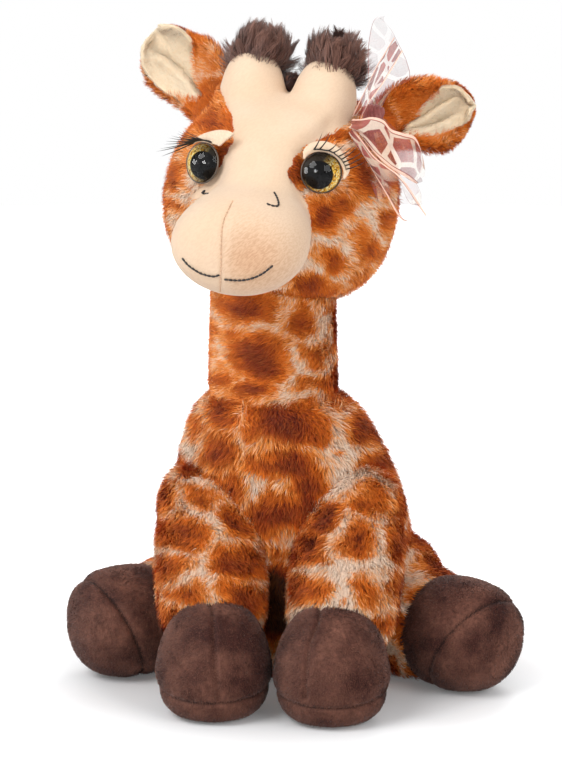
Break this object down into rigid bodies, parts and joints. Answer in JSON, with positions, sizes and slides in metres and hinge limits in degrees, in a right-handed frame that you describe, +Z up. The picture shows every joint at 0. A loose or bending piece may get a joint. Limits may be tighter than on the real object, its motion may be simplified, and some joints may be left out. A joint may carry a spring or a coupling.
{
  "type": "plush giraffe",
  "caption": "Seated giraffe soft toy: patched fur body, long neck, big smooth muzzle, glossy domed eyes with lashes, tufted horns, dark stuffed hooves and a sheer ribbon bow.",
  "frame": {"origin": "the middle of the seated toy's floor box, on the floor", "axes": "+Z up; the toy faces -Y with its head turned a little towards -X; the bow is on the +X side"},
  "size_m": [0.2012, 0.202, 0.2926],
  "materials": {
    "body": "long patterned pile, matt",
    "granule_bag": "plain cloth",
    "neck": "long patterned pile, matt",
    "neck_mane": "long dark pile, matt",
    "head": "long patterned pile, matt",
    "face": "short smooth pile, matt",
    "horn_left": "short smooth pile, matt",
    "horn_tuft_left": "long dark pile, matt",
    "horn_right": "short smooth pile, matt",
    "horn_tuft_right": "long dark pile, matt",
    "head_mane": "long dark pile, matt",
    "eye_left": "clear glossy dome over a glitter ring and a black pupil",
    "eye_washer_left": "plain moulded",
    "eye_right": "clear glossy dome over a glitter ring and a black pupil",
    "eye_washer_right": "plain moulded",
    "eyelid_left": "short smooth pile, matt",
    "eyelash_left": "satin fibre",
    "eyelid_right": "short smooth pile, matt",
    "eyelash_right": "satin fibre",
    "mouth_stitch_left": "satin thread",
    "mouth_stitch_right": "satin thread",
    "nostril_stitch_left": "satin thread",
    "nostril_stitch_right": "satin thread",
    "ear_left": "long patterned pile, matt",
    "ear_lining_left": "short smooth pile, matt",
    "ear_right": "long patterned pile, matt",
    "ear_lining_right": "short smooth pile, matt",
    "front_leg_left": "long patterned pile, matt",
    "front_hoof_left": "short dense pile, matt",
    "front_sole_left": "short dense pile, matt",
    "front_leg_right": "long patterned pile, matt",
    "front_hoof_right": "short dense pile, matt",
    "front_sole_right": "short dense pile, matt",
    "hind_leg_left": "long patterned pile, matt",
    "hind_hoof_left": "short dense pile, matt",
    "hind_sole_left": "short dense pile, matt",
    "hind_leg_right": "long patterned pile, matt",
    "hind_hoof_right": "short dense pile, matt",
    "hind_sole_right": "short dense pile, matt",
    "tail": "long patterned pile, matt",
    "tail_tuft": "long dark pile, matt",
    "bow_knot": "sheer woven ribbon",
    "bow_loop_upper": "sheer woven ribbon",
    "bow_loop_side": "sheer woven ribbon",
    "bow_loop_lower": "sheer woven ribbon",
    "bow_tail": "sheer woven ribbon"
  },
  "bodies": {
    "body": {"body": "body", "granule_bag": "granule_bag"},
    "neck": {"neck": "neck", "neck_mane": "neck_mane"},
    "head": {"head": "head", "face": "face", "head_mane": "head_mane", "horn_left": "horn_left", "horn_tuft_left": "horn_tuft_left", "horn_right": "horn_right", "horn_tuft_right": "horn_tuft_right", "eye_left": "eye_left", "eye_washer_left": "eye_washer_left", "eye_right": "eye_right", "eye_washer_right": "eye_washer_right", "eyelid_left": "eyelid_left", "eyelash_left": "eyelash_left", "eyelid_right": "eyelid_right", "eyelash_right": "eyelash_right", "mouth_stitch_left": "mouth_stitch_left", "mouth_stitch_right": "mouth_stitch_right", "nostril_stitch_left": "nostril_stitch_left", "nostril_stitch_right": "nostril_stitch_right", "bow_knot": "bow_knot", "bow_loop_upper": "bow_loop_upper", "bow_loop_side": "bow_loop_side", "bow_loop_lower": "bow_loop_lower", "bow_tail": "bow_tail"},
    "ear_left": {"ear_left": "ear_left", "ear_lining_left": "ear_lining_left"},
    "front_leg_left": {"front_leg_left": "front_leg_left", "front_hoof_left": "front_hoof_left", "front_sole_left": "front_sole_left"},
    "hind_leg_left": {"hind_leg_left": "hind_leg_left", "hind_hoof_left": "hind_hoof_left", "hind_sole_left": "hind_sole_left"},
    "ear_right": {"ear_right": "ear_right", "ear_lining_right": "ear_lining_right"},
    "front_leg_right": {"front_leg_right": "front_leg_right", "front_hoof_right": "front_hoof_right", "front_sole_right": "front_sole_right"},
    "hind_leg_right": {"hind_leg_right": "hind_leg_right", "hind_hoof_right": "hind_hoof_right", "hind_sole_right": "hind_sole_right"},
    "tail": {"tail": "tail", "tail_tuft": "tail_tuft"}
  },
  "joints": [
    {"name": "neck_nod", "type": "hinge", "parent": "body", "child": "neck", "pos_m": [-0.008, -0.01966, 0.134], "axis": [1, 0, 0], "range_deg": [-12, 12], "stiffness_Nm_per_rad": 0.8},
    {"name": "head_turn", "type": "hinge", "parent": "neck", "child": "head", "pos_m": [-0.008, -0.01966, 0.178], "axis": [0, 0, 1], "range_deg": [-35, 35], "stiffness_Nm_per_rad": 0.15},
    {"name": "ear_bend_left", "type": "hinge", "parent": "head", "child": "ear_left", "pos_m": [-0.03574, -0.00442, 0.24804], "axis": [0.1132, 0.9936, 0], "range_deg": [-30, 20], "stiffness_Nm_per_rad": 0.03},
    {"name": "ear_bend_right", "type": "hinge", "parent": "head", "child": "ear_right", "pos_m": [0.03468, -0.01244, 0.24371], "axis": [-0.1132, -0.9936, 0], "range_deg": [-12, 20], "stiffness_Nm_per_rad": 0.03},
    {"name": "front_leg_lift_left", "type": "hinge", "parent": "body", "child": "front_leg_left", "pos_m": [-0.0295, -0.02966, 0.079], "axis": [-1, 0, 0], "range_deg": [0, 25], "stiffness_Nm_per_rad": 0.15},
    {"name": "front_leg_lift_right", "type": "hinge", "parent": "body", "child": "front_leg_right", "pos_m": [0.0295, -0.02966, 0.079], "axis": [-1, 0, 0], "range_deg": [0, 25], "stiffness_Nm_per_rad": 0.15},
    {"name": "hind_leg_swing_left", "type": "hinge", "parent": "body", "child": "hind_leg_left", "pos_m": [-0.036, 0.00734, 0.025], "axis": [0, 0, -1], "range_deg": [-12, 20], "stiffness_Nm_per_rad": 0.12},
    {"name": "hind_leg_swing_right", "type": "hinge", "parent": "body", "child": "hind_leg_right", "pos_m": [0.036, 0.00734, 0.025], "axis": [0, 0, 1], "range_deg": [-12, 20], "stiffness_Nm_per_rad": 0.12},
    {"name": "tail_lift", "type": "hinge", "parent": "body", "child": "tail", "pos_m": [0, 0.04684, 0.034], "axis": [1, 0, 0], "range_deg": [-10, 45], "stiffness_Nm_per_rad": 0.03}
  ]
}
